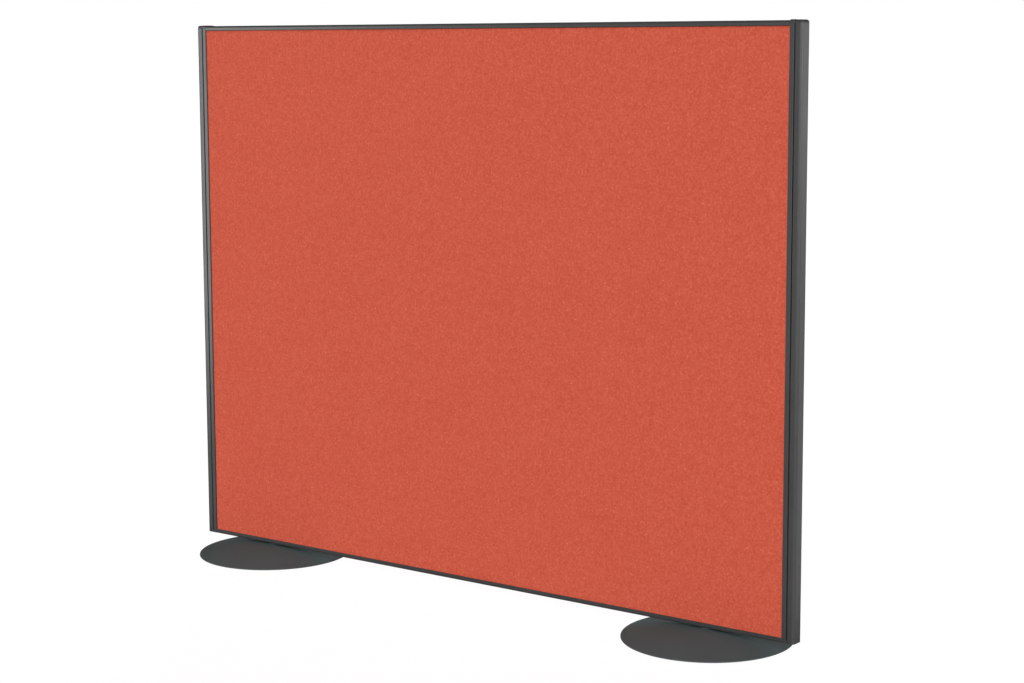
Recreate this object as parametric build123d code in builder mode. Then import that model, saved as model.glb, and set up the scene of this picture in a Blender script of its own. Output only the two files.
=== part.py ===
from build123d import *
import os
from math import sqrt

# Free-standing office floor screen: a cloth-covered padded board in a slim
# metal frame, an edge trim on each end, standing on two shallow domed discs.
# Row frame: millimetres, X along the width, Y front (-) to back (+), Z up,
# origin on the floor under the middle of the screen.

os.makedirs("parts", exist_ok=True)

# ---------------------------------------------------------------- dimensions
half_width = 800.0          # to the outer face of an edge trim
top_z = 1222.0              # top of the top rail
rail_under_z = 22.0         # underside of the bottom rail
depth = 30.0                # frame thickness, front to back
sight_x = 772.0             # half-width of the cloth that shows
rail_face = 10.5            # height of a rail's face below its top
lip_in = 12.4               # inner face of every lip, from the mid plane
cover_lap = 4.7             # depth of a rail's rebate for the padded board

cloth_y = 12.0              # outer face of the cloth
cloth_t = 0.6
padding_t = 2.4
board_half = 9.0            # half of an 18 mm board

stile_out = 782.1           # outer face of a stile
stile_lap = 4.6             # how far a stile's lips reach over the board
web_in = sight_x + stile_lap            # 776.6
web_out = web_in + 1.4                  # 778.0
slot_lip_in = stile_out - 1.4           # 780.7
slot_half = 4.5             # half-width of the linking slot's mouth
cavity_half = 8.0           # half-width behind the mouth
post_z0 = 23.5              # underside of the uprights
stile_z0 = 25.5
stile_z1 = 1216.0

trim_in = 784.5             # inner face of an edge trim: a 2.4 mm shadow gap
trim_corner = 6.0           # radius of the trim's two outer corners
trim_wall = 1.6
tongue_stop_z = 30.0        # where the tongue rests on the stile's plug
cap_top_z = 1223.5
trim_cap_top_z = 1223.1      # the outer cap is a little lower
cap_split_x = 783.3         # the two caps meet over the shadow gap
cap_crown = 5.4             # rounding of the trim cap's upper edges
cap_gap = 0.15
cap_seam = 0.5              # chamfer that marks the seam under a cap
groove_end_z = 28.5         # the shadow gap is closed below this height

shoulder_y = 8.0            # flat land of a rail: +-8
shoulder_h = 4.5            # height of a rail's rounded shoulder
rail_web_z = top_z - rail_face + cover_lap   # 1216.2, underside of the web

board_x = 776.4
board_z1 = 1215.8
board_z0 = rail_under_z + (top_z - board_z1)  # 28.2
mid_z = (top_z + rail_under_z) / 2            # 622

foot_x = 594.5              # centre of a foot
foot_r = 174.0
rim_z = 3.0                 # height of the rim's upper edge
apex_z = 19.8               # height the dome would reach on its axis
cover_t = 1.5
land_r = 15.0               # flat land around the bolt
weight_r = 160.0
bolt_r = 5.0
bolt_len = 25.0
head_z = 1.9
head_h = 6.4
washer_t = 2.0
nut_plate_t = 8.0

screw_r = 1.75
screw_head_r = 3.4

# derived: the dome is part of a sphere through the rim and the apex
rise = apex_z - rim_z
dome_R = (foot_r**2 + rise**2) / (2 * rise)
dome_c = apex_z - dome_R


def dome_z(radius, inset):
    return dome_c + sqrt((dome_R - inset) ** 2 - radius**2)


land_z = dome_z(land_r, 0)
bracket_t = 2.0
bracket_leg = 40.0

LEFT = Plane.YZ             # mirror plane for the left-hand pieces


# ---------------------------------------------------------------- rails
with BuildPart() as top_rail:
    with BuildSketch(Plane.YZ.offset(-sight_x)):
        zb = top_z - rail_face
        zs = top_z - shoulder_h
        h = depth / 2
        with BuildLine():
            Line((-h, zb + 0.8), (-h, zs))
            EllipticalCenterArc((-shoulder_y, zs), h - shoulder_y, shoulder_h, 90, arc_size=90)
            Line((-shoulder_y, top_z), (shoulder_y, top_z))
            EllipticalCenterArc((shoulder_y, zs), h - shoulder_y, shoulder_h, 0, arc_size=90)
            Polyline((h, zs), (h, zb + 0.8), (h - 0.8, zb), (lip_in, zb), (lip_in, rail_web_z),
                     (-lip_in, rail_web_z), (-lip_in, zb), (-h + 0.8, zb), (-h, zb + 0.8))
        make_face()
        # two closed chambers with a rib between them
        with Locations((-6.0, rail_web_z + 1.4 + 1.3), (6.0, rail_web_z + 1.4 + 1.3)):
            Rectangle(10.0, 2.6, mode=Mode.SUBTRACT)
    extrude(amount=2 * sight_x)
    # holes in the inner wall for the corner bracket screws
    with Locations(*[Location((sx * 752.0, y, rail_web_z + 0.7)) for sx in (-1, 1) for y in (-5.5, 5.5)]):
        Cylinder(1.55, 1.6, mode=Mode.SUBTRACT)
top_rail.part.label = "top_rail"

with BuildPart() as bottom_rail:
    mirror(top_rail.part, about=Plane.XY.offset(mid_z))
    # clearance holes for the foot bolts
    with Locations(Location((-foot_x, 0, rail_under_z + 3)), Location((foot_x, 0, rail_under_z + 3))):
        Cylinder(bolt_r + 0.5, 8.0, mode=Mode.SUBTRACT)
bottom_rail.part.label = "bottom_rail"

# ---------------------------------------------------------------- stiles
stile_screw_z = (172.0, 472.0, 772.0, 1072.0)
bracket_screw_z = (rail_under_z + 30.0, top_z - 30.0)

with BuildPart() as stile_right:
    with BuildSketch(Plane.XY.offset(stile_z0)):
        with Locations(((sight_x + stile_out) / 2, 0)):
            RectangleRounded(stile_out - sight_x, depth, 1.0)
        # rebate that takes the edge of the padded board
        with Locations(((sight_x - 1 + web_in) / 2, 0)):
            Rectangle(web_in - sight_x + 1, 2 * lip_in, mode=Mode.SUBTRACT)
        # linking slot: wide cavity and narrow mouth
        with Locations(((web_out + slot_lip_in) / 2, 0)):
            Rectangle(slot_lip_in - web_out, 2 * cavity_half, mode=Mode.SUBTRACT)
        with Locations(((slot_lip_in + stile_out + 1) / 2, 0)):
            Rectangle(stile_out + 1 - slot_lip_in, 2 * slot_half, mode=Mode.SUBTRACT)
        # side chambers
        with Locations(((web_out + slot_lip_in) / 2, 11.4), ((web_out + slot_lip_in) / 2, -11.4)):
            Rectangle(slot_lip_in - web_out, 4.0, mode=Mode.SUBTRACT)
    extrude(amount=stile_z1 - stile_z0)
    # countersunk screw holes through the web
    with Locations(*[Location((web_out - 0.7, 0, z), (0, 90, 0)) for z in stile_screw_z + bracket_screw_z]):
        Cone(2.05, screw_head_r + 0.15, 1.4, mode=Mode.SUBTRACT)
stile_right.part.label = "stile_right"

with BuildPart() as stile_left:
    mirror(stile_right.part, about=LEFT)
stile_left.part.label = "stile_left"

# plug that closes the foot of the stile and is the stop for the trim's tongue
with BuildPart() as stile_plug_right:
    with BuildSketch(Plane.XY.offset(post_z0)):
        with Locations(((sight_x + stile_out) / 2, 0)):
            RectangleRounded(stile_out - sight_x, depth, 1.0)
    extrude(amount=stile_z0 - post_z0)
    # bar that closes the foot of the shadow gap
    with BuildSketch(Plane.XY.offset(post_z0)):
        with Locations(((stile_out - 1 + trim_in - 0.15) / 2, 0)):
            Rectangle(trim_in - 0.15 - stile_out + 1, depth - 0.6)
    extrude(amount=stile_z0 - 0.05 - post_z0)
    with BuildSketch(Plane.XY.offset(post_z0 + 0.5)):
        with Locations(((stile_out + 0.1 + trim_in - 0.15) / 2, 0)):
            Rectangle(trim_in - 0.15 - stile_out - 0.1, depth - 0.6)
    extrude(amount=groove_end_z - post_z0 - 0.5)
    with BuildSketch(Plane.XY.offset(stile_z0)):
        with Locations(((web_out + slot_lip_in) / 2, 0)):
            Rectangle(slot_lip_in - web_out - 0.3, 2 * cavity_half - 0.4)
        with Locations(((slot_lip_in + stile_out) / 2 - 0.2, 0)):
            Rectangle(stile_out - slot_lip_in + 0.4, 2 * slot_half - 0.4)
    extrude(amount=tongue_stop_z - stile_z0)
    with BuildSketch(Plane.XY.offset(stile_z0)):
        with Locations(((web_out + slot_lip_in) / 2, 11.4), ((web_out + slot_lip_in) / 2, -11.4)):
            Rectangle(slot_lip_in - web_out - 0.4, 3.6)
    extrude(amount=12.0)
stile_plug_right.part.label = "stile_plug_right"

with BuildPart() as stile_plug_left:
    mirror(stile_plug_right.part, about=LEFT)
stile_plug_left.part.label = "stile_plug_left"

# moulded cap on the head of the stile, notched so that the tongue can pass
with BuildPart() as stile_cap_right:
    with BuildSketch(Plane.XY.offset(stile_z1)):
        with Locations(((sight_x + cap_split_x - cap_gap) / 2, 0)):
            Rectangle(cap_split_x - cap_gap - sight_x, depth)
    extrude(amount=cap_top_z - stile_z1)
    crown = stile_cap_right.edges().group_by(Axis.Z)[-1]
    fillet(crown.filter_by(Axis.X), radius=cap_crown - 0.9)
    # soften the whole outline of the two side faces
    rim = stile_cap_right.edges().filter_by(lambda e: e.center().Z > stile_z1 + 0.5)
    fillet(rim.filter_by(lambda e: abs(e.center().X - sight_x) < 0.01), radius=1.5)
    rim = stile_cap_right.edges().filter_by(lambda e: e.center().Z > stile_z1 + 0.5)
    fillet(rim.filter_by(lambda e: abs(e.center().X - cap_split_x + cap_gap) < 0.01), radius=1.0)
    chamfer(stile_cap_right.edges().group_by(Axis.Z)[0].filter_by(Axis.X), length=cap_seam)
    with BuildSketch(Plane.XY.offset(stile_z1)):
        with Locations(((web_out - 0.2 + cap_split_x + 1) / 2, 0)):
            Rectangle(cap_split_x + 1 - web_out + 0.2, 2 * cavity_half + 0.4)
    extrude(amount=cap_top_z + 1 - stile_z1, mode=Mode.SUBTRACT)
    with BuildSketch(Plane.XY.offset(stile_z1)):
        with Locations(((web_out + slot_lip_in) / 2, 11.4), ((web_out + slot_lip_in) / 2, -11.4)):
            Rectangle(slot_lip_in - web_out - 0.4, 3.6)
    extrude(amount=-14.0)
stile_cap_right.part.label = "stile_cap_right"

with BuildPart() as stile_cap_left:
    mirror(stile_cap_right.part, about=LEFT)
stile_cap_left.part.label = "stile_cap_left"

# ---------------------------------------------------------------- edge trims
# hollow section with two large outer corners and a T-shaped tongue
with BuildPart() as edge_trim_right:
    with BuildSketch(Plane.XY.offset(stile_z0)):
        with Locations(((trim_in + half_width) / 2, 0)):
            Rectangle(half_width - trim_in, depth)
    extrude(amount=stile_z1 - stile_z0)
    uprights = edge_trim_right.edges().filter_by(Axis.Z)
    fillet(uprights.group_by(Axis.X)[-1], radius=trim_corner)
    fillet(edge_trim_right.edges().filter_by(Axis.Z).group_by(Axis.X)[0], radius=1.0)
    with BuildSketch(Plane.XY.offset(stile_z0)):
        with Locations(((trim_in + half_width) / 2, 0)):
            RectangleRounded(half_width - trim_in - 2 * trim_wall, depth - 2 * trim_wall, 4.4)
    extrude(amount=stile_z1 - stile_z0, mode=Mode.SUBTRACT)
    with BuildSketch(Plane.XY.offset(tongue_stop_z)):
        with Locations(((slot_lip_in - 0.4 + trim_in + 0.5) / 2, 0)):
            Rectangle(trim_in + 0.5 - slot_lip_in + 0.4, 2 * slot_half - 0.8)
        with Locations(((web_out + 0.4 + slot_lip_in - 0.4) / 2, 0)):
            Rectangle(slot_lip_in - web_out - 0.8, 2 * cavity_half - 0.8)
    extrude(amount=stile_z1 - tongue_stop_z)
edge_trim_right.part.label = "edge_trim_right"

with BuildPart() as edge_trim_left:
    mirror(edge_trim_right.part, about=LEFT)
edge_trim_left.part.label = "edge_trim_left"

# domed cap on the head of the trim; its lug fills the notch in the stile's cap
with BuildPart() as trim_cap_right:
    with BuildSketch(Plane.XY.offset(stile_z1)):
        with Locations(((cap_split_x + cap_gap + half_width) / 2, 0)):
            Rectangle(half_width - cap_split_x - cap_gap, depth)
    extrude(amount=trim_cap_top_z - stile_z1)
    fillet(trim_cap_right.edges().filter_by(Axis.Z).group_by(Axis.X)[-1], radius=trim_corner)
    fillet(trim_cap_right.edges().filter_by(lambda e: e.center().Z > trim_cap_top_z - 0.01 and e.center().X > cap_split_x + 1), radius=cap_crown)
    fillet(trim_cap_right.edges().filter_by(lambda e: e.center().Z > trim_cap_top_z - 0.01 and abs(e.center().X - cap_split_x - cap_gap) < 0.01), radius=1.4)
    chamfer(trim_cap_right.edges().group_by(Axis.Z)[0].filter_by(lambda e: e.center().X > cap_split_x + 1), length=cap_seam)
    # lug
    with BuildSketch(Plane.XY.offset(stile_z1)):
        with Locations(((web_out + 0.2 + cap_split_x + 2) / 2, 0)):
            Rectangle(cap_split_x + 2 - web_out - 0.2, 2 * cavity_half - 0.4)
    extrude(amount=trim_cap_top_z - 0.4 - stile_z1)
    # hollow spigot that grips inside the trim
    with BuildSketch(Plane.XY.offset(stile_z1)):
        with Locations(((trim_in + half_width) / 2, 0)):
            RectangleRounded(half_width - trim_in - 2 * trim_wall - 0.4, depth - 2 * trim_wall - 0.4, 4.2)
            RectangleRounded(half_width - trim_in - 2 * trim_wall - 3.4, depth - 2 * trim_wall - 3.4, 2.7, mode=Mode.SUBTRACT)
    extrude(amount=-12.0)
trim_cap_right.part.label = "trim_cap_right"

with BuildPart() as trim_cap_left:
    mirror(trim_cap_right.part, about=LEFT)
trim_cap_left.part.label = "trim_cap_left"

with BuildPart() as trim_plug_right:
    with BuildSketch(Plane.XY.offset(post_z0)):
        with Locations(((trim_in + half_width) / 2, 0)):
            Rectangle(half_width - trim_in, depth)
    extrude(amount=stile_z0 - post_z0)
    fillet(trim_plug_right.edges().filter_by(Axis.Z).group_by(Axis.X)[-1], radius=trim_corner)
    fillet(trim_plug_right.edges().filter_by(Axis.Z).group_by(Axis.X)[0], radius=0.9)
    with BuildSketch(Plane.XY.offset(stile_z0)):
        with Locations(((trim_in + half_width) / 2, 0)):
            RectangleRounded(half_width - trim_in - 2 * trim_wall - 0.4, depth - 2 * trim_wall - 0.4, 4.2)
            RectangleRounded(half_width - trim_in - 2 * trim_wall - 3.4, depth - 2 * trim_wall - 3.4, 2.7, mode=Mode.SUBTRACT)
    extrude(amount=12.0)
trim_plug_right.part.label = "trim_plug_right"

with BuildPart() as trim_plug_left:
    mirror(trim_plug_right.part, about=LEFT)
trim_plug_left.part.label = "trim_plug_left"

# ---------------------------------------------------------------- board, padding, cloth
nut_plate_z0 = rail_under_z + (top_z - rail_web_z)      # 27.8, on the rail's web
nut_plate_z1 = nut_plate_z0 + nut_plate_t
plate_screw_dx = 38.0

with BuildPart() as core_board:
    with BuildSketch(Plane.XZ.offset(-board_half)):
        with Locations((0, (board_z0 + board_z1) / 2)):
            Rectangle(2 * board_x, board_z1 - board_z0)
        # corners rebated for the brackets
        for sx in (-1, 1):
            for zc, sz in ((rail_web_z, 1), (nut_plate_z0, -1)):
                with Locations((sx * (web_in - bracket_leg / 2 - 0.2), zc - sz * 1.15)):
                    Rectangle(bracket_leg + 0.4, 2.3, mode=Mode.SUBTRACT)
                with Locations((sx * (web_in - 1.15), zc - sz * (bracket_leg / 2 + 0.2))):
                    Rectangle(2.3, bracket_leg + 0.4, mode=Mode.SUBTRACT)
        # notches in the lower edge for the nut plates
        with Locations((-foot_x, board_z0), (foot_x, board_z0)):
            Rectangle(100.6, 2 * (nut_plate_z1 + 0.4 - board_z0), mode=Mode.SUBTRACT)
    extrude(amount=2 * board_half)
    with Locations(*[Location((sx * (board_x - 12), 0, z), (0, 90, 0)) for sx in (-1, 1) for z in stile_screw_z]):
        Cylinder(screw_r + 0.1, 26.0, mode=Mode.SUBTRACT)
    with Locations(*[Location((sx * foot_x + dx, 0, nut_plate_z1 + 6)) for sx in (-1, 1) for dx in (-plate_screw_dx, plate_screw_dx)]):
        Cylinder(screw_r + 0.1, 14.0, mode=Mode.SUBTRACT)
core_board.part.label = "core_board"

with BuildPart() as padding_front:
    with BuildSketch(Plane.XZ.offset(board_half)):
        with Locations((0, (board_z0 + board_z1) / 2)):
            Rectangle(2 * board_x, board_z1 - board_z0)
    extrude(amount=padding_t)
padding_front.part.label = "padding_front"

with BuildPart() as padding_back:
    mirror(padding_front.part, about=Plane.XZ)
padding_back.part.label = "padding_back"

with BuildPart() as fabric_front:
    with BuildSketch(Plane.XZ.offset(cloth_y - cloth_t)):
        with Locations((0, (board_z0 + board_z1) / 2)):
            Rectangle(2 * board_x, board_z1 - board_z0)
    extrude(amount=cloth_t)
fabric_front.part.label = "fabric_front"

with BuildPart() as fabric_back:
    mirror(fabric_front.part, about=Plane.XZ)
fabric_back.part.label = "fabric_back"

# ---------------------------------------------------------------- corner brackets
with BuildPart() as corner_bracket_top_right:
    with BuildSketch(Plane.XZ.offset(-8.0)):
        zt = rail_web_z
        with BuildLine():
            Polyline((web_in - bracket_leg, zt), (web_in - bracket_leg, zt - bracket_t), (web_in - bracket_t, zt - bracket_t),
                     (web_in - bracket_t, zt - bracket_leg), (web_in, zt - bracket_leg), (web_in, stile_z1 - 0.1),
                     (sight_x - 0.2, stile_z1 - 0.1), (sight_x - 0.2, zt), (web_in - bracket_leg, zt))
        make_face()
    extrude(amount=16.0)
    with Locations(*[Location((752.0, y, zt - 1)) for y in (-5.5, 5.5)]):
        Cone(3.15, 1.6, 2.0, mode=Mode.SUBTRACT)
    with Locations(Location((web_in - 1, 0, top_z - 30.0), (0, 90, 0))):
        Cylinder(screw_r + 0.3, 3.0, mode=Mode.SUBTRACT)
corner_bracket_top_right.part.label = "corner_bracket_top_right"

with BuildPart() as corner_bracket_top_left:
    mirror(corner_bracket_top_right.part, about=LEFT)
corner_bracket_top_left.part.label = "corner_bracket_top_left"

with BuildPart() as corner_bracket_bottom_right:
    mirror(corner_bracket_top_right.part, about=Plane.XY.offset(mid_z))
corner_bracket_bottom_right.part.label = "corner_bracket_bottom_right"

with BuildPart() as corner_bracket_bottom_left:
    mirror(corner_bracket_bottom_right.part, about=LEFT)
corner_bracket_bottom_left.part.label = "corner_bracket_bottom_left"

# ---------------------------------------------------------------- small screws
# countersunk wood screws through the stile webs into the board's edges
with BuildPart() as stile_screws:
    for sx in (-1, 1):
        for z in stile_screw_z:
            with BuildSketch(Plane(origin=(sx * web_out, 0, z), x_dir=(0, 1, 0), z_dir=(-sx, 0, 0))):
                Circle(screw_head_r)
            extrude(amount=screw_head_r - screw_r, taper=45)
            with BuildSketch(Plane(origin=(sx * (web_out - screw_head_r + screw_r), 0, z), x_dir=(0, 1, 0), z_dir=(-sx, 0, 0))):
                Circle(screw_r)
            extrude(amount=21.0)
            with BuildSketch(Plane(origin=(sx * web_out, 0, z), x_dir=(0, 1, 0), z_dir=(-sx, 0, 0))):
                Rectangle(3.6, 0.8)
                Rectangle(0.8, 3.6)
            extrude(amount=0.9, mode=Mode.SUBTRACT)
stile_screws.part.label = "stile_screws"

# short screws that hold the stiles to the corner brackets
with BuildPart() as bracket_stile_screws:
    for sx in (-1, 1):
        for z in bracket_screw_z:
            with BuildSketch(Plane(origin=(sx * web_out, 0, z), x_dir=(0, 1, 0), z_dir=(-sx, 0, 0))):
                Circle(screw_head_r)
            extrude(amount=screw_head_r - screw_r, taper=45)
            with BuildSketch(Plane(origin=(sx * (web_out - screw_head_r + screw_r), 0, z), x_dir=(0, 1, 0), z_dir=(-sx, 0, 0))):
                Circle(screw_r)
            extrude(amount=1.9)
            with BuildSketch(Plane(origin=(sx * web_out, 0, z), x_dir=(0, 1, 0), z_dir=(-sx, 0, 0))):
                Rectangle(3.6, 0.8)
                Rectangle(0.8, 3.6)
            extrude(amount=0.9, mode=Mode.SUBTRACT)
bracket_stile_screws.part.label = "bracket_stile_screws"

# short screws that hold the brackets to the rails' inner walls
with BuildPart() as bracket_rail_screws:
    for sz, zb in ((1, rail_web_z - bracket_t), (-1, nut_plate_z0 + bracket_t)):
        for sx in (-1, 1):
            for y in (-5.5, 5.5):
                with BuildSketch(Plane(origin=(sx * 752.0, y, zb), x_dir=(1, 0, 0), z_dir=(0, 0, sz))):
                    Circle(3.0)
                extrude(amount=1.5, taper=45)
                with BuildSketch(Plane(origin=(sx * 752.0, y, zb + sz * 1.5), x_dir=(1, 0, 0), z_dir=(0, 0, sz))):
                    Circle(1.5)
                extrude(amount=3.0)
bracket_rail_screws.part.label = "bracket_rail_screws"

# ---------------------------------------------------------------- nut plates over the feet
with BuildPart() as nut_plate_right:
    with BuildSketch(Plane.XY.offset(nut_plate_z0)):
        with Locations((foot_x, 0)):
            RectangleRounded(100.0, 16.0, 1.5)
            Circle(bolt_r - 0.1, mode=Mode.SUBTRACT)
    extrude(amount=nut_plate_t)
    with Locations(*[Location((foot_x + dx, 0, nut_plate_z0 + nut_plate_t / 2)) for dx in (-plate_screw_dx, plate_screw_dx)]):
        Cylinder(screw_r + 0.1, nut_plate_t + 1, mode=Mode.SUBTRACT)
    with Locations(*[Location((foot_x + dx, 0, nut_plate_z0 + 1.0)) for dx in (-plate_screw_dx, plate_screw_dx)]):
        Cone(screw_head_r + 0.2, screw_r - 0.0, 2.0, mode=Mode.SUBTRACT)
nut_plate_right.part.label = "nut_plate_right"

with BuildPart() as nut_plate_left:
    mirror(nut_plate_right.part, about=LEFT)
nut_plate_left.part.label = "nut_plate_left"

with BuildPart() as nut_plate_screws:
    for sx in (-1, 1):
        for dx in (-plate_screw_dx, plate_screw_dx):
            with BuildSketch(Plane.XY.offset(nut_plate_z0)):
                with Locations((sx * foot_x + dx, 0)):
                    Circle(screw_head_r)
            extrude(amount=screw_head_r - screw_r, taper=45)
            with BuildSketch(Plane.XY.offset(nut_plate_z0 + screw_head_r - screw_r)):
                with Locations((sx * foot_x + dx, 0)):
                    Circle(screw_r)
            extrude(amount=18.0)
nut_plate_screws.part.label = "nut_plate_screws"

# ---------------------------------------------------------------- feet
foot_plane = Plane(origin=(foot_x, 0, 0), x_dir=(1, 0, 0), z_dir=(0, -1, 0))
foot_axis = Axis((foot_x, 0, 0), (0, 0, 1))

# pressed steel cover: shallow dome with a short turned-down rim
with BuildPart() as foot_cover_right:
    with BuildSketch(foot_plane):
        r_m = 95.0
        r_in = foot_r - cover_t
        with BuildLine():
            Line((bolt_r + 0.6, land_z), (land_r, land_z))
            ThreePointArc((land_r, land_z), (r_m, dome_z(r_m, 0)), (foot_r, dome_z(foot_r, 0)))
            Polyline((foot_r, dome_z(foot_r, 0)), (foot_r, 1.0), (r_in, 1.0), (r_in, dome_z(r_in, cover_t)))
            ThreePointArc((r_in, dome_z(r_in, cover_t)), (r_m, dome_z(r_m, cover_t)), (land_r, dome_z(land_r, cover_t)))
            Polyline((land_r, dome_z(land_r, cover_t)), (bolt_r + 0.6, dome_z(land_r, cover_t)), (bolt_r + 0.6, land_z))
        make_face()
    revolve(axis=foot_axis)
    fillet(foot_cover_right.edges().filter_by(GeomType.CIRCLE).filter_by(lambda e: abs(e.radius - foot_r) < 0.01).sort_by(Axis.Z)[-1], radius=1.0)
foot_cover_right.part.label = "foot_cover_right"

with BuildPart() as foot_cover_left:
    mirror(foot_cover_right.part, about=LEFT)
foot_cover_left.part.label = "foot_cover_left"

# cast weight under the cover, recessed from below for the bolt's head
with BuildPart() as foot_weight_right:
    with BuildSketch(foot_plane):
        inset = cover_t + 0.3
        with BuildLine():
            Line((bolt_r + 0.08, dome_z(land_r, inset)), (land_r, dome_z(land_r, inset)))
            ThreePointArc((land_r, dome_z(land_r, inset)), (r_m, dome_z(r_m, inset)), (weight_r, dome_z(weight_r, inset)))
            Polyline((weight_r, dome_z(weight_r, inset)), (weight_r, 1.5), (13.0, 1.5), (13.0, 10.5),
                     (bolt_r + 0.08, 10.5), (bolt_r + 0.08, dome_z(land_r, inset)))
        make_face()
    revolve(axis=foot_axis)
foot_weight_right.part.label = "foot_weight_right"

with BuildPart() as foot_weight_left:
    mirror(foot_weight_right.part, about=LEFT)
foot_weight_left.part.label = "foot_weight_left"

with BuildPart() as foot_pad_right:
    with BuildSketch(Plane.XY):
        with Locations((foot_x, 0)):
            Circle(158.0)
            Circle(140.0, mode=Mode.SUBTRACT)
    extrude(amount=1.5)
foot_pad_right.part.label = "foot_pad_right"

with BuildPart() as foot_pad_left:
    mirror(foot_pad_right.part, about=LEFT)
foot_pad_left.part.label = "foot_pad_left"

with BuildPart() as foot_bolt_right:
    with BuildSketch(Plane.XY.offset(head_z)):
        with Locations((foot_x, 0)):
            RegularPolygon(8.5, 6, major_radius=False)
    extrude(amount=head_h)
    with BuildSketch(Plane.XY.offset(head_z + head_h)):
        with Locations((foot_x, 0)):
            Circle(bolt_r)
    extrude(amount=bolt_len)
    chamfer(foot_bolt_right.edges().filter_by(GeomType.CIRCLE).sort_by(Axis.Z)[-1], length=0.8)
foot_bolt_right.part.label = "foot_bolt_right"

with BuildPart() as foot_bolt_left:
    mirror(foot_bolt_right.part, about=LEFT)
foot_bolt_left.part.label = "foot_bolt_left"

with BuildPart() as foot_washer_right:
    with BuildSketch(Plane.XY.offset(head_z + head_h)):
        with Locations((foot_x, 0)):
            Circle(10.5)
            Circle(bolt_r + 0.15, mode=Mode.SUBTRACT)
    extrude(amount=washer_t)
foot_washer_right.part.label = "foot_washer_right"

with BuildPart() as foot_washer_left:
    mirror(foot_washer_right.part, about=LEFT)
foot_washer_left.part.label = "foot_washer_left"

with BuildPart() as foot_spacer_right:
    with BuildSketch(Plane.XY.offset(land_z + 0.2)):
        with Locations((foot_x, 0)):
            Circle(12.5)
            Circle(bolt_r + 0.15, mode=Mode.SUBTRACT)
    extrude(amount=rail_under_z - land_z - 0.2)
foot_spacer_right.part.label = "foot_spacer_right"

with BuildPart() as foot_spacer_left:
    mirror(foot_spacer_right.part, about=LEFT)
foot_spacer_left.part.label = "foot_spacer_left"

# ---------------------------------------------------------------- write the pieces
for piece in (top_rail, bottom_rail, stile_left, stile_right,
              stile_plug_left, stile_plug_right, stile_cap_left, stile_cap_right,
              edge_trim_left, edge_trim_right, trim_cap_left, trim_cap_right,
              trim_plug_left, trim_plug_right,
              core_board, padding_front, padding_back, fabric_front, fabric_back,
              corner_bracket_top_left, corner_bracket_top_right,
              corner_bracket_bottom_left, corner_bracket_bottom_right,
              stile_screws, bracket_stile_screws, bracket_rail_screws,
              nut_plate_left, nut_plate_right, nut_plate_screws,
              foot_cover_left, foot_cover_right, foot_weight_left, foot_weight_right,
              foot_pad_left, foot_pad_right, foot_bolt_left, foot_bolt_right,
              foot_washer_left, foot_washer_right, foot_spacer_left, foot_spacer_right):
    export_step(piece.part, f"parts/{piece.part.label}.step")
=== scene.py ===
import math

import bmesh
import bpy
import numpy as np
from mathutils import Matrix, Vector


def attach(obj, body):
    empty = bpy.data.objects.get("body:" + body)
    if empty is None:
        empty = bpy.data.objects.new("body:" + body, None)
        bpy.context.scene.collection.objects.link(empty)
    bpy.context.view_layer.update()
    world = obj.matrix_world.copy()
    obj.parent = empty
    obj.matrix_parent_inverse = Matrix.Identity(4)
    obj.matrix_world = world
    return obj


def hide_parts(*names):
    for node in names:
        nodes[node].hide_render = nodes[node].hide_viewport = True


# Office floor screen: the looks of the cloth-covered panel, its coated frame,
# the moulded caps and the two domed disc feet. Metres, +Z up, front is -Y.

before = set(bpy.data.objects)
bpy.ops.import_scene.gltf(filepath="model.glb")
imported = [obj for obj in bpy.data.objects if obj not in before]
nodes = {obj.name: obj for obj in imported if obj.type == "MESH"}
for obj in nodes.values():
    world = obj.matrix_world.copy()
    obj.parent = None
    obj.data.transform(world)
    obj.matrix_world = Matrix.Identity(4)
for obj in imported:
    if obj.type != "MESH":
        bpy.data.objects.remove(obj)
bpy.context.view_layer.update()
scene = bpy.context.scene
scene.view_settings.view_transform = "Standard"


# ------------------------------------------------------------------ camera
eye = Vector((2.630138, -3.306047, 1.158050))
right = Vector((0.81529717, 0.57904218, 0.00082521))
up = Vector((-0.07308091, 0.10148471, 0.99214920))
back = Vector((0.57441249, -0.80895674, 0.12505713))
cam_data = bpy.data.cameras.new("camera")
cam = bpy.data.objects.new("camera", cam_data)
scene.collection.objects.link(cam)
cam.matrix_world = Matrix((
    (right.x, up.x, back.x, eye.x),
    (right.y, up.y, back.y, eye.y),
    (right.z, up.z, back.z, eye.z),
    (0, 0, 0, 1)))
cam_data.sensor_width = 36
cam_data.lens = 70.01583
cam_data.shift_x = -0.0668945
cam_data.shift_y = -0.0353409
cam_data.clip_start = 0.05
cam_data.clip_end = 2000
scene.camera = cam


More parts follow.
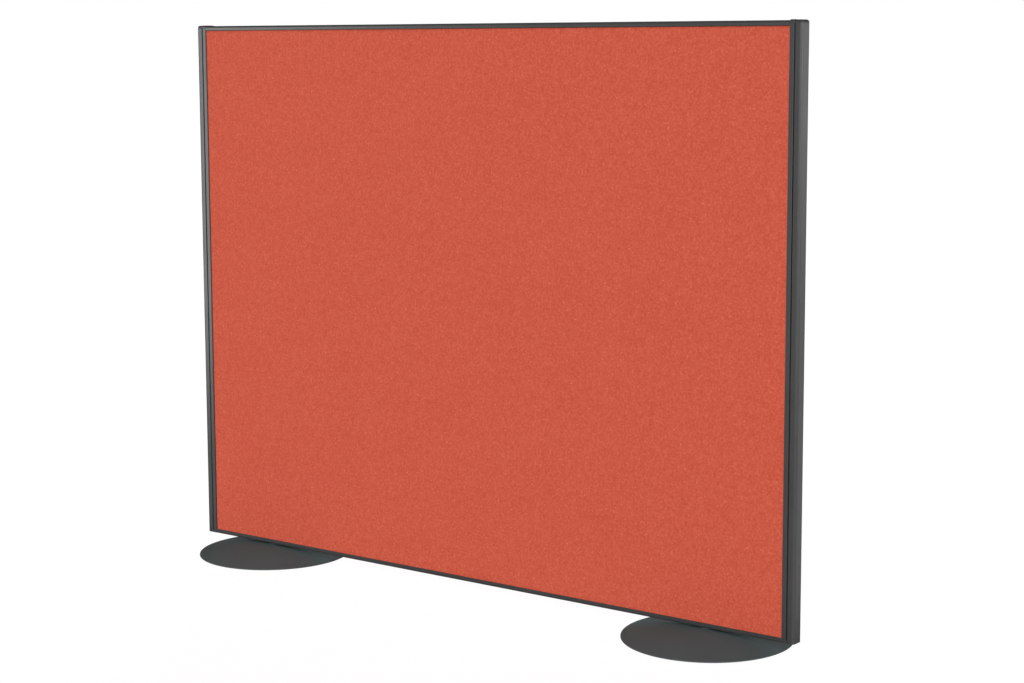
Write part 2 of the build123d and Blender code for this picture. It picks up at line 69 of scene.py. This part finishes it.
# ------------------------------------------------------------------ node helpers
class Net:
    """A material with a Principled shader, built up in a few readable calls."""

    def __init__(self, name):
        self.mat = bpy.data.materials.new(name)
        self.mat.use_nodes = True
        self.t = self.mat.node_tree
        self.t.nodes.clear()
        self.out = self.t.nodes.new("ShaderNodeOutputMaterial")
        self.bsdf = self.t.nodes.new("ShaderNodeBsdfPrincipled")
        self.t.links.new(self.bsdf.outputs[0], self.out.inputs[0])
        self.coord = self.t.nodes.new("ShaderNodeTexCoord").outputs["Object"]

    def link(self, a, b):
        self.t.links.new(a, b)

    def put(self, socket, value):
        if isinstance(value, bpy.types.NodeSocket):
            self.link(value, socket)
        else:
            socket.default_value = value

    def set(self, **values):
        for k, v in values.items():
            self.put(self.bsdf.inputs[k.replace("_", " ")], v)

    def stretch(self, scale, rotation=(0, 0, 0)):
        n = self.t.nodes.new("ShaderNodeMapping")
        n.inputs["Scale"].default_value = scale
        n.inputs["Rotation"].default_value = rotation
        self.link(self.coord, n.inputs["Vector"])
        return n.outputs[0]

    def noise(self, vector, scale, detail=2.0, rough=0.5, distort=0.0):
        n = self.t.nodes.new("ShaderNodeTexNoise")
        n.inputs["Scale"].default_value = scale
        n.inputs["Detail"].default_value = detail
        n.inputs["Roughness"].default_value = rough
        n.inputs["Distortion"].default_value = distort
        self.link(vector, n.inputs["Vector"])
        return n.outputs[0]

    def voronoi(self, vector, scale, feature="F1", out="Distance", random=1.0):
        n = self.t.nodes.new("ShaderNodeTexVoronoi")
        n.feature = feature
        n.inputs["Scale"].default_value = scale
        n.inputs["Randomness"].default_value = random
        self.link(vector, n.inputs["Vector"])
        return n.outputs[out]

    def math(self, op, a, b=None, c=None, clamp=False):
        n = self.t.nodes.new("ShaderNodeMath")
        n.operation = op
        n.use_clamp = clamp
        for i, v in enumerate((a, b, c)):
            if v is not None:
                self.put(n.inputs[i], v)
        return n.outputs[0]

    def ramp(self, value, lo, hi, to_lo=0.0, to_hi=1.0, smooth=False):
        n = self.t.nodes.new("ShaderNodeMapRange")
        n.interpolation_type = "SMOOTHSTEP" if smooth else "LINEAR"
        n.clamp = True
        self.put(n.inputs[0], value)
        for i, v in enumerate((lo, hi, to_lo, to_hi)):
            n.inputs[i + 1].default_value = v
        return n.outputs[0]

    def mix(self, factor, a, b, kind="MIX"):
        n = self.t.nodes.new("ShaderNodeMix")
        n.data_type = "RGBA"
        n.blend_type = kind
        self.put(n.inputs["Factor"], factor)
        for s, v in ((n.inputs[6], a), (n.inputs[7], b)):
            self.put(s, v if isinstance(v, bpy.types.NodeSocket) else (*v, 1.0))
        return n.outputs[2]

    def split(self, vector):
        n = self.t.nodes.new("ShaderNodeSeparateXYZ")
        self.link(vector, n.inputs[0])
        return n.outputs

    def bump(self, height, strength, distance, under=None):
        n = self.t.nodes.new("ShaderNodeBump")
        n.inputs["Strength"].default_value = strength
        n.inputs["Distance"].default_value = distance
        self.link(height, n.inputs["Height"])
        if under is not None:
            self.link(under, n.inputs["Normal"])
        return n.outputs[0]


def coated(name, colour, rough, peel=1.0, along=None, level=0.5):
    """Satin powder coat: fine orange peel, slow cloudiness, a little rub wear on the edges."""
    m = Net(name)
    fine = m.noise(m.coord, 620, 3, 0.55)
    grain = m.noise(m.coord, 2300, 2, 0.6)
    cloud = m.noise(m.coord, 9, 3, 0.5)
    tone = m.math("ADD", m.ramp(fine, 0.3, 0.7, -0.5, 0.5), m.ramp(cloud, 0.3, 0.7, -0.6, 0.6))
    tone = m.math("MULTIPLY_ADD", tone, 0.09, 1.0)
    shade = m.t.nodes.new("ShaderNodeVectorMath")
    shade.operation = "SCALE"
    shade.inputs[0].default_value = colour
    m.link(tone, shade.inputs["Scale"])
    # rubbed edges: where the rounded normal leaves the true one
    bev = m.t.nodes.new("ShaderNodeBevel")
    bev.samples = 4
    bev.inputs["Radius"].default_value = 0.0008
    geo = m.t.nodes.new("ShaderNodeNewGeometry")
    dot = m.t.nodes.new("ShaderNodeVectorMath")
    dot.operation = "DOT_PRODUCT"
    m.link(bev.outputs[0], dot.inputs[0])
    m.link(geo.outputs["Normal"], dot.inputs[1])
    edge = m.ramp(dot.outputs["Value"], 0.99, 0.86)
    scuff = m.ramp(m.noise(m.coord, 55, 4, 0.65), 0.5, 0.68)
    worn = m.math("MULTIPLY", m.math("MULTIPLY", edge, scuff), 0.45)
    light = tuple(min(1.0, 2.6 * c) for c in colour)
    m.set(Base_Color=m.mix(worn, shade.outputs[0], light))
    haze = m.ramp(cloud, 0.3, 0.7, -0.03, 0.03)
    m.set(Roughness=m.math("ADD", m.ramp(grain, 0.3, 0.7, rough - 0.03, rough + 0.04), haze, clamp=True))
    m.bsdf.inputs["Specular IOR Level"].default_value = level
    n = m.bump(fine, 0.10 * peel, 0.00012)
    n = m.bump(grain, 0.16 * peel, 0.00004, n)
    if along is not None:
        # faint draw lines left by the extrusion die, along the length
        s = {"X": (0.6, 900, 900), "Z": (900, 900, 0.6)}[along]
        lines = m.noise(m.stretch(s), 1.0, 2, 0.5)
        n = m.bump(lines, 0.06, 0.00005, n)
    m.set(Normal=n)
    return m.mat


def moulded(name, colour, rough):
    """Moulded plastic with a fine spark-eroded texture."""
    m = Net(name)
    grain = m.noise(m.coord, 1900, 3, 0.6)
    cells = m.voronoi(m.coord, 1500)
    flow = m.noise(m.coord, 40, 2, 0.5)
    tint = m.math("MULTIPLY_ADD", m.ramp(flow, 0.3, 0.7, -1, 1), 0.06, 1.0)
    shade = m.t.nodes.new("ShaderNodeVectorMath")
    shade.operation = "SCALE"
    shade.inputs[0].default_value = colour
    m.link(tint, shade.inputs["Scale"])
    m.set(Base_Color=shade.outputs[0])
    m.set(Roughness=m.ramp(grain, 0.3, 0.7, rough - 0.05, rough + 0.05))
    n = m.bump(grain, 0.35, 0.00008)
    n = m.bump(cells, 0.15, 0.00005, n)
    m.set(Normal=n)
    return m.mat


def cloth_material(name):
    """Plain crepe-weave upholstery cloth: two sets of slubby yarns, slow dye mottling and pale flecks."""
    m = Net(name)
    warped = m.t.nodes.new("ShaderNodeVectorMath")
    warped.operation = "MULTIPLY_ADD"
    drift = m.t.nodes.new("ShaderNodeTexNoise")
    drift.inputs["Scale"].default_value = 60
    m.link(m.coord, drift.inputs["Vector"])
    centred = m.t.nodes.new("ShaderNodeVectorMath")
    centred.operation = "SUBTRACT"
    centred.inputs[1].default_value = (0.5, 0.5, 0.5)
    m.link(drift.outputs["Color"], centred.inputs[0])
    m.link(centred.outputs[0], warped.inputs[0])
    warped.inputs[1].default_value = (0.0009, 0.0, 0.0009)
    m.link(m.coord, warped.inputs[2])
    x, _, z = m.split(warped.outputs[0])
    pitch = 2 * math.pi / 0.00115
    wx = m.math("MULTIPLY", x, pitch)
    wz = m.math("MULTIPLY", z, pitch)
    warp = m.math("ABSOLUTE", m.math("SINE", m.math("MULTIPLY", wx, 0.5)))
    weft = m.math("ABSOLUTE", m.math("SINE", m.math("MULTIPLY", wz, 0.5)))
    # which yarn lies on top changes from crossing to crossing, as in a crepe
    over = m.math("MULTIPLY", m.math("SINE", m.math("MULTIPLY", wx, 0.5)), m.math("SINE", m.math("MULTIPLY", wz, 0.5)))
    over = m.ramp(m.math("ADD", over, m.ramp(m.noise(m.coord, 420, 2, 0.5), 0.3, 0.7, -0.7, 0.7)), -0.5, 0.5, 0, 1, True)
    yarn = m.math("ADD", m.math("MULTIPLY", warp, over), m.math("MULTIPLY", weft, m.math("SUBTRACT", 1.0, over)))
    fibre = m.noise(m.coord, 3800, 2, 0.6)
    height = m.math("MULTIPLY_ADD", fibre, 0.25, yarn)
    # yarn to yarn colour: streaks along both directions
    run_z = m.ramp(m.noise(m.stretch((420, 1, 13)), 1.0, 2, 0.6), 0.3, 0.7, -1, 1)
    run_x = m.ramp(m.noise(m.stretch((13, 1, 420)), 1.0, 2, 0.6), 0.3, 0.7, -1, 1)
    slub = m.ramp(m.noise(m.stretch((150, 1, 185)), 1.0, 1, 0.5), 0.3, 0.7, -1, 1)
    pebble = m.ramp(m.noise(m.coord, 225, 0, 0.5), 0.36, 0.76, -0.68, 1.18)
    mottle = m.ramp(m.noise(m.coord, 64, 3, 0.6), 0.3, 0.7, -1, 1)
    broad = m.ramp(m.noise(m.coord, 7, 2, 0.5), 0.3, 0.7, -1, 1)
    tone = m.math("MULTIPLY", run_z, 0.014)
    tone = m.math("MULTIPLY_ADD", run_x, 0.018, tone)
    tone = m.math("MULTIPLY_ADD", slub, 0.080, tone)
    tone = m.math("MULTIPLY_ADD", pebble, 0.128, tone)
    tone = m.math("MULTIPLY_ADD", mottle, 0.078, tone)
    tone = m.math("MULTIPLY_ADD", broad, 0.018, tone)
    tone = m.math("MULTIPLY_ADD", m.ramp(yarn, 0.0, 1.0, -1, 1), 0.035, tone)
    # paler yarns are also less saturated: the change is smallest in red
    shade = m.t.nodes.new("ShaderNodeVectorMath")
    shade.operation = "MULTIPLY_ADD"
    m.link(tone, shade.inputs[0])
    shade.inputs[1].default_value = tuple(c * k for c, k in zip(CLOTH, (0.46, 1.20, 1.45)))
    shade.inputs[2].default_value = CLOTH
    # pale flecks where a lighter fibre comes to the face
    cell = m.stretch((205, 1, 225))
    spots = m.voronoi(cell, 1.0, out="Distance")
    draw = m.t.nodes.new("ShaderNodeSeparateColor")
    m.link(m.voronoi(cell, 1.0, out="Color"), draw.inputs[0])
    rare = m.ramp(draw.outputs[0], 0.90, 0.99)
    fleck = m.math("MULTIPLY", m.ramp(spots, 0.46, 0.20), rare)
    fleck = m.math("MULTIPLY", fleck, 0.72)
    pale = tuple(min(1.0, c * k) for c, k in zip(CLOTH, (1.38, 1.8, 2.0)))
    m.set(Base_Color=m.mix(fleck, shade.outputs[0], pale))
    m.set(Roughness=m.ramp(fibre, 0.3, 0.7, 0.86, 0.95))
    m.bsdf.inputs["Specular IOR Level"].default_value = 0.12
    m.bsdf.inputs["Sheen Weight"].default_value = 0.06
    m.bsdf.inputs["Sheen Roughness"].default_value = 0.55
    m.bsdf.inputs["Sheen Tint"].default_value = (0.95, 0.55, 0.45, 1)
    n = m.bump(height, 0.20, 0.00022)
    n = m.bump(m.noise(m.coord, 110, 3, 0.6), 0.10, 0.0006, n)
    m.set(Normal=n)
    return m.mat


def wadding_material(name):
    """Needled polyester wadding: matted off-white fibres."""
    m = Net(name)
    tangle = m.noise(m.coord, 900, 6, 0.75, 1.6)
    lump = m.noise(m.coord, 45, 3, 0.6)
    strand = m.voronoi(m.stretch((500, 500, 1100)), 1.0, "DISTANCE_TO_EDGE")
    tone = m.math("ADD", m.ramp(tangle, 0.3, 0.7, 0.80, 1.02), m.ramp(lump, 0.3, 0.7, -0.05, 0.05))
    shade = m.t.nodes.new("ShaderNodeVectorMath")
    shade.operation = "SCALE"
    shade.inputs[0].default_value = (0.72, 0.70, 0.65)
    m.link(tone, shade.inputs["Scale"])
    m.set(Base_Color=shade.outputs[0], Roughness=m.ramp(tangle, 0.3, 0.7, 0.9, 1.0))
    m.bsdf.inputs["Sheen Weight"].default_value = 0.25
    n = m.bump(tangle, 0.7, 0.0006)
    n = m.bump(strand, 0.3, 0.0003, n)
    m.set(Normal=n)
    return m.mat


def board_material(name):
    """Raw chipboard: pressed flakes of three tones with dark fines between them."""
    m = Net(name)
    flakes = m.t.nodes.new("ShaderNodeTexVoronoi")
    flakes.inputs["Scale"].default_value = 1.0
    m.link(m.stretch((260, 260, 420), (0.3, 0.6, 0.2)), flakes.inputs["Vector"])
    sep = m.t.nodes.new("ShaderNodeSeparateColor")
    m.link(flakes.outputs["Color"], sep.inputs[0])
    fibre = m.noise(m.stretch((60, 900, 900), (0.2, 0.1, 0.4)), 1.0, 3, 0.6)
    one = m.mix(m.ramp(sep.outputs[0], 0.25, 0.75), (0.48, 0.31, 0.16), (0.66, 0.48, 0.28))
    two = m.mix(m.ramp(sep.outputs[1], 0.82, 0.95), one, (0.24, 0.14, 0.07))
    three = m.mix(m.math("MULTIPLY", m.ramp(fibre, 0.35, 0.65), 0.25), two, (0.30, 0.19, 0.10))
    m.set(Base_Color=three, Roughness=m.ramp(fibre, 0.3, 0.7, 0.75, 0.92))
    n = m.bump(flakes.outputs["Distance"], 0.35, 0.0004)
    n = m.bump(fibre, 0.3, 0.0002, n)
    m.set(Normal=n)
    return m.mat


def zinc_material(name):
    """Zinc-plated steel: faint spangle, brushed haze and a cool tint."""
    m = Net(name)
    spangle = m.t.nodes.new("ShaderNodeTexVoronoi")
    spangle.inputs["Scale"].default_value = 420
    m.link(m.coord, spangle.inputs["Vector"])
    sep = m.t.nodes.new("ShaderNodeSeparateColor")
    m.link(spangle.outputs["Color"], sep.inputs[0])
    brush = m.noise(m.stretch((300, 2500, 2500)), 1.0, 3, 0.6)
    stain = m.noise(m.coord, 70, 3, 0.6)
    base = m.mix(m.ramp(sep.outputs[0], 0, 1), (0.56, 0.58, 0.62), (0.70, 0.71, 0.73))
    m.set(Base_Color=m.mix(m.ramp(stain, 0.5, 0.75, 0, 0.35), base, (0.52, 0.50, 0.42)))
    m.bsdf.inputs["Metallic"].default_value = 1.0
    m.set(Roughness=m.math("ADD", m.ramp(brush, 0.3, 0.7, 0.26, 0.38), m.ramp(stain, 0.3, 0.7, -0.03, 0.06)))
    n = m.bump(brush, 0.15, 0.00003)
    m.set(Normal=n)
    return m.mat


def casting_material(name):
    """Dip-painted sand casting."""
    m = Net(name)
    sand = m.noise(m.coord, 700, 5, 0.7)
    lump = m.noise(m.coord, 120, 3, 0.6)
    m.set(Base_Color=m.mix(m.ramp(sand, 0.35, 0.7), (0.012, 0.012, 0.013), (0.028, 0.027, 0.026)))
    m.set(Roughness=m.ramp(sand, 0.3, 0.7, 0.5, 0.75))
    n = m.bump(sand, 0.8, 0.0005)
    n = m.bump(lump, 0.4, 0.0012, n)
    m.set(Normal=n)
    return m.mat


def rubber_material(name):
    """Black rubber with dust in its fine texture."""
    m = Net(name)
    grain = m.noise(m.coord, 1500, 3, 0.6)
    dust = m.noise(m.coord, 90, 4, 0.65)
    m.set(Base_Color=m.mix(m.ramp(dust, 0.45, 0.75, 0, 0.5), (0.010, 0.010, 0.010), (0.045, 0.043, 0.040)))
    m.set(Roughness=m.ramp(grain, 0.3, 0.7, 0.75, 0.92))
    m.set(Normal=m.bump(grain, 0.4, 0.00012))
    return m.mat


# ------------------------------------------------------------------ materials
CHARCOAL = (0.0420, 0.0425, 0.0430)
# painted light: the feet's matt charcoal is tinted teal to cancel the coral bounce light from the cloth, not the
# coat's own colour
COVER_GREY_TINTED_AGAINST_BOUNCE = (0.0715, 0.0885, 0.0900)
CLOTH = (0.536, 0.0911, 0.0528)

frame_x = coated("charcoal_coat_rail", CHARCOAL, 0.30, along="X")
frame_z = coated("charcoal_coat_upright", CHARCOAL, 0.30, along="Z")
cover_mat = coated("charcoal_coat_cover", COVER_GREY_TINTED_AGAINST_BOUNCE, 0.62, peel=1.6, level=0.03)
cap_mat = moulded("charcoal_moulding", (0.036, 0.0365, 0.0370), 0.40)
cloth_mat = cloth_material("coral_cloth")
wadding_mat = wadding_material("wadding")
board_mat = board_material("chipboard")
zinc_mat = zinc_material("zinc_plate")
casting_mat = casting_material("painted_casting")
rubber_mat = rubber_material("black_rubber")

finish_of = {
    "top_rail": frame_x, "bottom_rail": frame_x,
    "stile_left": frame_z, "stile_right": frame_z,
    "edge_trim_left": frame_z, "edge_trim_right": frame_z,
    "core_board": board_mat,
}
for n in nodes:
    if n in finish_of:
        continue
    if "_cap_" in n or "_plug_" in n:
        finish_of[n] = cap_mat
    elif n.startswith("foot_cover") or n.startswith("foot_spacer"):
        finish_of[n] = cover_mat
    elif n.startswith("foot_weight"):
        finish_of[n] = casting_mat
    elif n.startswith("foot_pad"):
        finish_of[n] = rubber_mat
    elif n.startswith("padding"):
        finish_of[n] = wadding_mat
    elif n.startswith("fabric"):
        finish_of[n] = cloth_mat
    else:
        finish_of[n] = zinc_mat
for n, o in nodes.items():
    if not o.material_slots:
        o.data.materials.append(finish_of[n])
    for s in o.material_slots:
        s.material = finish_of[n]


# ------------------------------------------------------------------ soft pieces
board_hx = 0.7764
board_lo, board_hi = 0.0282, 1.2158
board_face = 0.009


def graded(a, b, step, edge, count):
    """Stations from a to b, close together near both ends and about step apart between."""
    s = [edge * (k / count) ** 1.5 for k in range(count + 1)]
    inner = np.linspace(a + edge, b - edge, max(2, int(round((b - a - 2 * edge) / step)) + 1))
    left = [a + v for v in s[:-1]]
    right_side = [b - v for v in s[:-1]][::-1]
    return np.array(left + list(inner) + right_side)


def crown(x, z, hx, lo, hi, loft, reach):
    """How far the padding lifts the cloth off the line where the frame holds it down."""
    dx = np.maximum(hx - np.abs(x), 0)
    dz = np.maximum(np.minimum(z - lo, hi - z), 0)
    return loft * (1 - np.exp(-dx / reach)) * (1 - np.exp(-dz / reach))


def ripple(x, z):
    """Slow unevenness of the padding, under a tenth of a millimetre or so."""
    r = np.zeros_like(x)
    for k, (fx, fz, ph) in enumerate(((7.3, 3.1, 0.4), (4.1, 9.7, 1.9), (13.7, 11.3, 2.7), (21.0, 17.5, 5.1))):
        r = r + np.sin(fx * x + fz * z + ph) * np.cos(fz * x - fx * z + 1.7 * ph) / (k + 1.5)
    return r


def skin(name, side, outer, inner, mat, hx, lo, hi, grid_step):
    """A closed thin body between two heights over the board, with a rolled edge.

    outer and inner give, for points of a grid, the distance of the two faces from the mid plane."""
    xs = graded(-hx, hx, grid_step, 0.03, 12)
    zs = graded(lo, hi, grid_step, 0.03, 12)
    gx, gz = np.meshgrid(xs, zs, indexing="ij")
    bm = bmesh.new()
    layers = []
    for height in (outer, inner):
        h = height(gx, gz)
        rows = [[bm.verts.new((gx[i, j], side * h[i, j], gz[i, j])) for j in range(len(zs))] for i in range(len(xs))]
        layers.append(rows)
    nx, nz = len(xs), len(zs)
    for k, rows in enumerate(layers):
        for i in range(nx - 1):
            for j in range(nz - 1):
                f = [rows[i][j], rows[i + 1][j], rows[i + 1][j + 1], rows[i][j + 1]]
                if (k == 0) == (side > 0):
                    f.reverse()
                bm.faces.new(f)
    a, b = layers
    ring = [(i, 0) for i in range(nx)] + [(nx - 1, j) for j in range(1, nz)] + [(i, nz - 1) for i in range(nx - 2, -1, -1)] + [(0, j) for j in range(nz - 2, 0, -1)]
    for p, q in zip(ring, ring[1:] + ring[:1]):
        bm.faces.new([a[p[0]][p[1]], a[q[0]][q[1]], b[q[0]][q[1]], b[p[0]][p[1]]])
    bmesh.ops.recalc_face_normals(bm, faces=bm.faces[:])
    me = bpy.data.meshes.new(name)
    bm.to_mesh(me)
    bm.free()
    me.polygons.foreach_set("use_smooth", [True] * len(me.polygons))
    o = bpy.data.objects.new(name, me)
    scene.collection.objects.link(o)
    o.data.materials.append(mat)
    return o


def edge_drop(x, z, hx, lo, hi, radius):
    """Quarter-round at the rim of a padded sheet: 0 inside, rising to radius at the very edge."""
    d = np.minimum(hx - np.abs(x), np.minimum(z - lo, hi - z))
    d = np.clip(d, 0, radius)
    return radius - np.sqrt(np.maximum(radius**2 - (radius - d) ** 2, 0))


cloth_t = 0.0006
for side, word in ((-1, "front"), (1, "back")):
    cloth_hx, cloth_lo, cloth_hi = board_hx - 0.0001, board_lo + 0.0001, board_hi - 0.0001
    pad_hx, pad_lo, pad_hi = cloth_hx - 0.0008, cloth_lo + 0.0008, cloth_hi - 0.0008

    def face(x, z):
        return (0.0120 + crown(x, z, 0.7715, 0.0330, 1.2110, 0.0008, 0.016)
                + 0.00005 * ripple(x, z) * (1 - np.exp(-np.maximum(0.7715 - np.abs(x), 0) / 0.05)))

    def cloth_outer(x, z):
        return face(x, z) - edge_drop(x, z, cloth_hx, cloth_lo, cloth_hi, 0.0022)

    def cloth_inner(x, z):
        return np.minimum(face(x, z) - cloth_t, np.maximum(cloth_outer(x, z) - cloth_t, board_face + 0.0001))

    def pad_outer(x, z):
        return face(x, z) - cloth_t - 0.00005 - edge_drop(x, z, pad_hx, pad_lo, pad_hi, 0.0018)

    def pad_inner(x, z):
        return np.full_like(x, board_face + 0.00002)

    cloth = skin(f"cloth_{word}", side, cloth_outer, cloth_inner, cloth_mat, cloth_hx, cloth_lo, cloth_hi, 0.02)
    pad = skin(f"wadding_{word}", side, pad_outer, pad_inner, wadding_mat, pad_hx, pad_lo, pad_hi, 0.03)
    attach(cloth, "panel")
    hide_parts(f"fabric_{word}")
    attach(pad, "panel")
    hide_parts(f"padding_{word}")


# ------------------------------------------------------------------ stage
FLOOR = (0.32, 0.32, 0.32)


def floor_material():
    """Pale seamless floor: lit from within a little, so that it stays near white."""
    m = Net("pale_floor")
    soft = m.noise(m.coord, 3, 3, 0.5)
    path = m.t.nodes.new("ShaderNodeLightPath")
    # painted reflection for the gloss of the frame: in glossy rays the floor is a mid tone in front, painted shade
    # near and behind the panel, and a painted pool of light past the right-hand end
    x, y, _ = m.split(m.coord)
    # painted shade: the floor is dark in glossy rays close to the panel and behind it
    shade_near_panel = m.ramp(y, -0.14, -0.06, 0.50, 0.05)
    lean = m.math("ADD", m.math("MULTIPLY", m.math("MAXIMUM", y, 0.0), -0.2126), m.math("MULTIPLY", m.math("MINIMUM", y, 0.0), -0.325))
    # painted light: the floor is bright in glossy rays past the right-hand end, for the gloss of the right post
    light_past_right_end = m.ramp(m.math("ADD", m.math("ADD", x, lean), -0.8), -0.03, 0.12, 0.0, 1.0)
    reflection_level = m.math("ADD", m.math("MULTIPLY", shade_near_panel, m.math("SUBTRACT", 1.0, light_past_right_end)), m.math("MULTIPLY", light_past_right_end, 0.95))
    painted_reflection = m.t.nodes.new("ShaderNodeCombineColor")
    for i in range(3):
        m.link(reflection_level, painted_reflection.inputs[i])
    m.set(Base_Color=m.mix(path.outputs["Is Glossy Ray"], m.mix(m.ramp(soft, 0.3, 0.7), FLOOR, tuple(0.99 * c for c in FLOOR)), painted_reflection.outputs[0]))
    m.set(Roughness=m.ramp(soft, 0.3, 0.7, 0.85, 0.95))
    m.bsdf.inputs["Specular IOR Level"].default_value = 0.0
    seen = m.t.nodes.new("ShaderNodeBsdfDiffuse")
    seen.inputs["Color"].default_value = (0.15, 0.15, 0.15, 1)
    glow = m.t.nodes.new("ShaderNodeEmission")
    glow.inputs["Strength"].default_value = 0.90
    both = m.t.nodes.new("ShaderNodeAddShader")
    m.link(seen.outputs[0], both.inputs[0])
    m.link(glow.outputs[0], both.inputs[1])
    pick = m.t.nodes.new("ShaderNodeMixShader")
    m.link(path.outputs["Is Camera Ray"], pick.inputs[0])
    m.link(m.bsdf.outputs[0], pick.inputs[1])
    m.link(both.outputs[0], pick.inputs[2])
    m.link(pick.outputs[0], m.out.inputs[0])
    return m.mat


bm = bmesh.new()
bmesh.ops.create_circle(bm, cap_ends=True, radius=900, segments=96)
me = bpy.data.meshes.new("floor")
bm.to_mesh(me)
bm.free()
floor = bpy.data.objects.new("floor", me)
floor.location = (0, 0, -0.0002)
scene.collection.objects.link(floor)
floor.data.materials.append(floor_material())

# studio: bright in front, dark behind and above, so that the frame's edges read dark
world = bpy.data.worlds.new("studio")
scene.world = world
world.use_nodes = True
wt = world.node_tree
wt.nodes.clear()


def world_ramp(value, lo, hi, to_lo, to_hi):
    n = wt.nodes.new("ShaderNodeMapRange")
    n.interpolation_type = "SMOOTHSTEP"
    wt.links.new(value, n.inputs[0])
    for i, v in enumerate((lo, hi, to_lo, to_hi)):
        n.inputs[i + 1].default_value = v
    return n.outputs[0]


w_out = wt.nodes.new("ShaderNodeOutputWorld")
w_coord = wt.nodes.new("ShaderNodeTexCoord")
w_sep = wt.nodes.new("ShaderNodeSeparateXYZ")
wt.links.new(w_coord.outputs["Generated"], w_sep.inputs[0])
w_dot = wt.nodes.new("ShaderNodeVectorMath")
w_dot.operation = "DOT_PRODUCT"
w_dot.inputs[1].default_value = (0.30, -0.95, 0.0)
wt.links.new(w_coord.outputs["Generated"], w_dot.inputs[0])
w_side = world_ramp(w_dot.outputs["Value"], -0.35, 0.45, 0.03, 0.48)
w_high = world_ramp(w_sep.outputs[2], 0.05, 0.60, 1.0, 0.22)
w_both = wt.nodes.new("ShaderNodeMath")
w_both.operation = "MULTIPLY"
wt.links.new(w_side, w_both.inputs[0])
wt.links.new(w_high, w_both.inputs[1])
w_soft = wt.nodes.new("ShaderNodeBackground")
wt.links.new(w_both.outputs[0], w_soft.inputs["Strength"])
w_pale = wt.nodes.new("ShaderNodeBackground")
w_pale.inputs["Color"].default_value = (1, 1, 1, 1)
w_pale.inputs["Strength"].default_value = 1.0
w_path = wt.nodes.new("ShaderNodeLightPath")
w_mix = wt.nodes.new("ShaderNodeMixShader")
wt.links.new(w_path.outputs["Is Camera Ray"], w_mix.inputs[0])
wt.links.new(w_soft.outputs[0], w_mix.inputs[1])
wt.links.new(w_pale.outputs[0], w_mix.inputs[2])
wt.links.new(w_mix.outputs[0], w_out.inputs[0])


def aim(obj, place, target):
    obj.location = place
    obj.rotation_mode = "QUATERNION"
    obj.rotation_quaternion = (Vector(target) - Vector(place)).to_track_quat("-Z", "Y")


def softbox(name, place, target, width, height, radiance):
    """A panel of light that only shows in the gloss of the frame."""
    d = bpy.data.lights.new(name, "AREA")
    d.shape = "RECTANGLE"
    d.size, d.size_y = width, height
    d.energy = radiance * math.pi * width * height
    o = bpy.data.objects.new(name, d)
    scene.collection.objects.link(o)
    aim(o, place, target)
    o.visible_camera = False
    o.visible_diffuse = False
    return o


def sunlight(name, toward, irradiance, angle, gloss=True):
    d = bpy.data.lights.new(name, "SUN")
    d.energy = irradiance * math.pi
    d.angle = math.radians(angle)
    o = bpy.data.objects.new(name, d)
    scene.collection.objects.link(o)
    aim(o, toward, (0, 0, 0))
    o.visible_glossy = gloss
    return o


sunlight("key", (1.3, -3.0, 2.6), 0.405, 50, gloss=False)
sunlight("front_fill", (0.8, -3.0, 0.25), 0.79, 40, gloss=False)
sunlight("overhead", (0.3, -1.2, 3.2), 0.20, 60, gloss=False)
sunlight("back_fill", (-0.9, 3.0, 1.3), 0.95, 50, gloss=False)
softbox("left_front", (-2.45, -1.63, 0.97), (-0.80, 0.0, 1.10), 0.85, 1.85, 3.9)
softbox("behind", (-1.6, 4.6, 1.3), (0.0, 0.0, 0.75), 5.0, 2.4, 0.7)
# round the right-hand post: brighter above, dimmer towards the floor
for word, place, width, above, below in (
        ("front_right", (2.27, -3.72), 6.6, 1.3, 0.35),
        ("right_side", (4.70, -0.15), 3.4, 3.5, 0.40),
        ("right_back", (4.27, 3.60), 4.2, 1.45, 0.15)):
    softbox(word + "_high", (*place, 1.72), (0.80, 0.0, 1.72), width, 2.0, above)
    softbox(word + "_low", (*place, 0.37), (0.80, 0.0, 0.37), width, 0.68, below)
